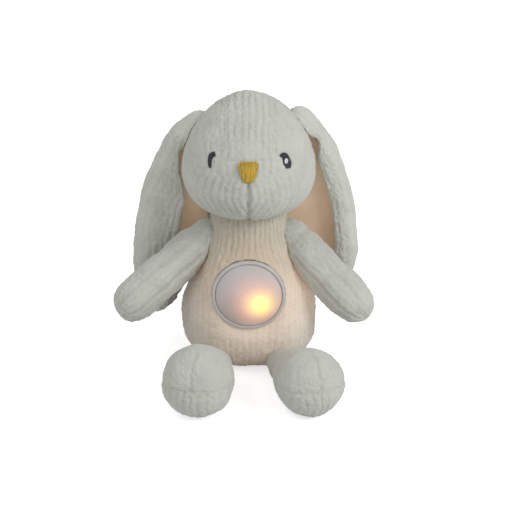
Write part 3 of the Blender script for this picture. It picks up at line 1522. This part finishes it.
def lining_material():
    """Peach velour, thin enough to let a little light through."""
    material, shader = plush_material("ear_velour", PEACH, PEACH_GROOVE, VELOUR_GRAIN)
    feed(shader, Emission_Color=PEACH_GLOW, Emission_Strength=1.0)
    return material


def mottled(name, **values):
    """A finish whose colour, roughness and surface vary finely, with its nodes and its colour."""
    colour, rough, grain, change, depth = FINISHES[name]
    material, tree, shader = fresh_material(name, **values)
    group = {"node_tree": MOTTLE}
    look = add(tree, "ShaderNodeGroup", group, Colour=colour, Grain=grain, Change=change).outputs
    roughness = spread(tree, look["Fine"], *GRAIN_RANGE, rough - ROUGH_SWING, rough + ROUGH_SWING)
    feed(shader, Base_Color=look["Colour"], Roughness=roughness)
    bump(tree, shader, look["Fine"], 0.5, depth)
    return material, tree, shader, look["Colour"]


def thread_material(name, streak):
    """Shiny embroidery thread, in upright streaks of a second tone."""
    material, tree, shader, tone = mottled(name, Sheen_Weight=0.15, Specular_IOR_Level=0.35)
    upright = vector_worked(tree, "MULTIPLY", i0=object_place(tree), i1=STREAK_SHAPE)[0]
    share = spread(tree, speckle(tree, upright, STREAK_GRAIN), *STREAK_RANGE)
    feed(shader, Base_Color=mixed(tree, share, tone, streak))
    return material


def lens_material():
    """Milky plastic lit from inside, with a hot spot and a warm halo."""
    material, tree, shader, _ = mottled("milky_lens", Specular_IOR_Level=0.4, Coat_Weight=0.15)
    shine_through(tree, shader, LENS_GLOWS)
    return material


def board_material():
    """Green boards with paler tracks and pads."""
    material, tree, shader, tone = mottled("green_board")
    tracks = add(tree, "ShaderNodeTexBrick", {"offset": TRACK_OFFSET}, Vector=object_place(tree),
                 Scale=TRACK_GRAIN, Color1=BLACK, Color2=BLACK, Mortar=PURE_WHITE, Mortar_Size=TRACK_WIDTH)
    feed(shader, Base_Color=mixed(tree, tracks.outputs["Color"], tone, TRACK_GREEN))
    return material


def led_material():
    material, _, shader, tone = mottled("amber_resin")
    feed(shader, Emission_Color=tone, Emission_Strength=2.0)
    return material


def sleeve_material():
    """A cell's printed sleeve: dark, with a copper band at one end."""
    material, tree, shader, tone = mottled("cell_sleeve")
    across = add(tree, "ShaderNodeSeparateXYZ", Vector=object_place(tree)).outputs["X"]
    band = spread(tree, across, *SLEEVE_BAND)
    feed(shader, Base_Color=mixed(tree, band, tone, SLEEVE_COPPER), Metallic=band)
    return material


def tape_material():
    """Hook and loop tape: a dense field of tiny tufts."""
    material, tree, shader, _ = mottled("hook_and_loop")
    tufts = add(tree, "ShaderNodeTexVoronoi", Vector=object_place(tree), Scale=TUFT_GRAIN)
    bump(tree, shader, tufts.outputs["Distance"], *TUFT_BUMP)
    return material


def dress(material, *names):
    """Gives solids that keep their shape a finer finish."""
    for name in names:
        node = bpy.data.objects[name]
        node.data.materials.clear()
        node.data.materials.append(material)


def wear(piece, material, body, node):
    """Dresses a piece: its material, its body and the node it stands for."""
    piece.data.materials.append(material)
    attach(piece, body)
    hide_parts(node)


# The rabbit

plush = plush_material("ribbed_plush")[0]
belly = plush_material("lit_plush", lit=True)[0]
ear_plush = plush_material("ear_plush", CREAM_EAR, CREAM_EAR_GROOVE)[0]
peach = lining_material()
yellow_thread = thread_material("yellow_thread", YELLOW_STREAK)
navy_thread = thread_material("navy_thread", NAVY_STREAK)
white_thread = thread_material("white_thread", WHITE_STREAK)
white_plastic = mottled("white_plastic")[0]
dark_plastic = mottled("dark_plastic")[0]
grey_plastic = mottled("grey_plastic")[0]
steel = mottled("bright_steel", Metallic=1.0)[0]
paper = mottled("speaker_paper")[0]
sheath = mottled("lead_sheath")[0]

torso = build_torso()
wear(torso, belly, "torso", "torso")
head, face_tree = build_head()
wear(head, plush, "head", "head")
torso_tree, head_tree = tree_of(torso), tree_of(head)
for side in SIDES:
    arm_name, leg_name, ear_name = "arm_" + side, "leg_" + side, "ear_" + side
    wear(build_arm(side, torso_tree), plush, arm_name, arm_name)
    wear(build_leg(side, torso_tree), plush, leg_name, leg_name)
    ear = build_ear(side, head_tree, torso_tree)
    wear(ear, ear_plush, ear_name, ear_name)
    lining = build_lining(side, head_tree, torso_tree, tree_of(ear))
    wear(lining, peach, ear_name, "ear_lining_" + side)
    wear(build_eye(side, face_tree), navy_thread, "head", "eye_" + side)
    wear(build_glint(side, face_tree), white_thread, "head", "eye_glint_" + side)
wear(build_nose(face_tree), yellow_thread, "head", "nose")
wear(build_tail(torso_tree), plush, "torso", "tail")
wear(build_flap(), plush, "flap", "back_flap")
wear(build_ring(), white_plastic, "torso", "bezel_ring")
wear(build_lens(), lens_material(), "lens", "lens_dome")

dress(white_plastic, "box_front_shell", "box_rear_shell", "battery_door", "light_housing", "reflector")
dress(board_material(), "light_board", "main_board")
dress(led_material(), "led_1", "led_2", "led_3")
dress(dark_plastic, "lamp_switch", "slide_switch", "mode_switch", "volume_switch", "speaker_frame",
      "power_switch")
dress(grey_plastic, "mode_button", "volume_button")
dress(steel, "board_screw_1", "board_screw_2", "board_screw_3", "shell_screw_1", "shell_screw_2",
      "door_screw", "contact_left", "contact_right", "speaker_magnet")
dress(paper, "speaker_cone")
dress(sleeve_material(), "cell_1", "cell_2", "cell_3")
dress(sheath, "lead", "lamp_plug", "box_plug")
dress(tape_material(), "hook_strip", "loop_strip")


# Stage

def seen_by(tree, *rays):
    """1 for the rays that only look at the background, and 0 for those that light the rabbit."""
    path = add(tree, "ShaderNodeLightPath")
    seen = path.outputs["Is Camera Ray"]
    for ray in rays:
        seen = worked(tree, "MAXIMUM", seen, path.outputs[ray])
    return seen


def lay_floor():
    mesh = bmesh.new()
    bmesh.ops.create_grid(mesh, x_segments=1, y_segments=1, size=FLOOR_HALF)
    floor = piece_of("floor", mesh)
    material, tree, shader = fresh_material("pale_floor", Base_Color=FLOOR_GREY, Roughness=0.9,
                                            Specular_IOR_Level=0.0, Emission_Color=PURE_WHITE)
    shine = worked(tree, "MULTIPLY", seen_by(tree, "Is Glossy Ray"), FLOOR_STRENGTH)
    feed(shader, Emission_Strength=shine)
    floor.data.materials.append(material)


def light_world():
    world = bpy.data.worlds.new("studio")
    bpy.context.scene.world = world
    world.use_nodes = True
    tree = world.node_tree
    seen = seen_by(tree, "Is Glossy Ray", "Is Transmission Ray")
    strength = spread(tree, seen, 0.0, 1.0, WORLD_STRENGTH, 1.0)
    feed(tree.nodes["Background"], Color=PURE_WHITE, Strength=strength)


def soft_lamp(name, place, size, power):
    light = bpy.data.lights.new(name, "AREA")
    light.shape = "DISK"
    light.size = size
    light.energy = power
    lamp = bpy.data.objects.new(name, light)
    bpy.context.scene.collection.objects.link(lamp)
    lamp.location = place
    lamp.rotation_euler = (LAMP_AIM - Vector(place)).to_track_quat("-Z", "Y").to_euler()


def add_camera():
    data = bpy.data.cameras.new("camera")
    data.sensor_width = CAMERA_SENSOR
    data.sensor_fit = "HORIZONTAL"
    data.lens = CAMERA_LENS
    camera = bpy.data.objects.new("camera", data)
    bpy.context.scene.collection.objects.link(camera)
    back = Vector((0, -math.cos(CAMERA_ELEVATION), math.sin(CAMERA_ELEVATION)))
    camera.location = CAMERA_TARGET + back * CAMERA_DISTANCE
    camera.rotation_euler = back.to_track_quat("Z", "Y").to_euler()
    bpy.context.scene.camera = camera


lay_floor()
light_world()
soft_lamp("key", *KEY_LAMP)
soft_lamp("fill", *FILL_LAMP)
add_camera()
bpy.context.scene.view_settings.view_transform = "Standard"
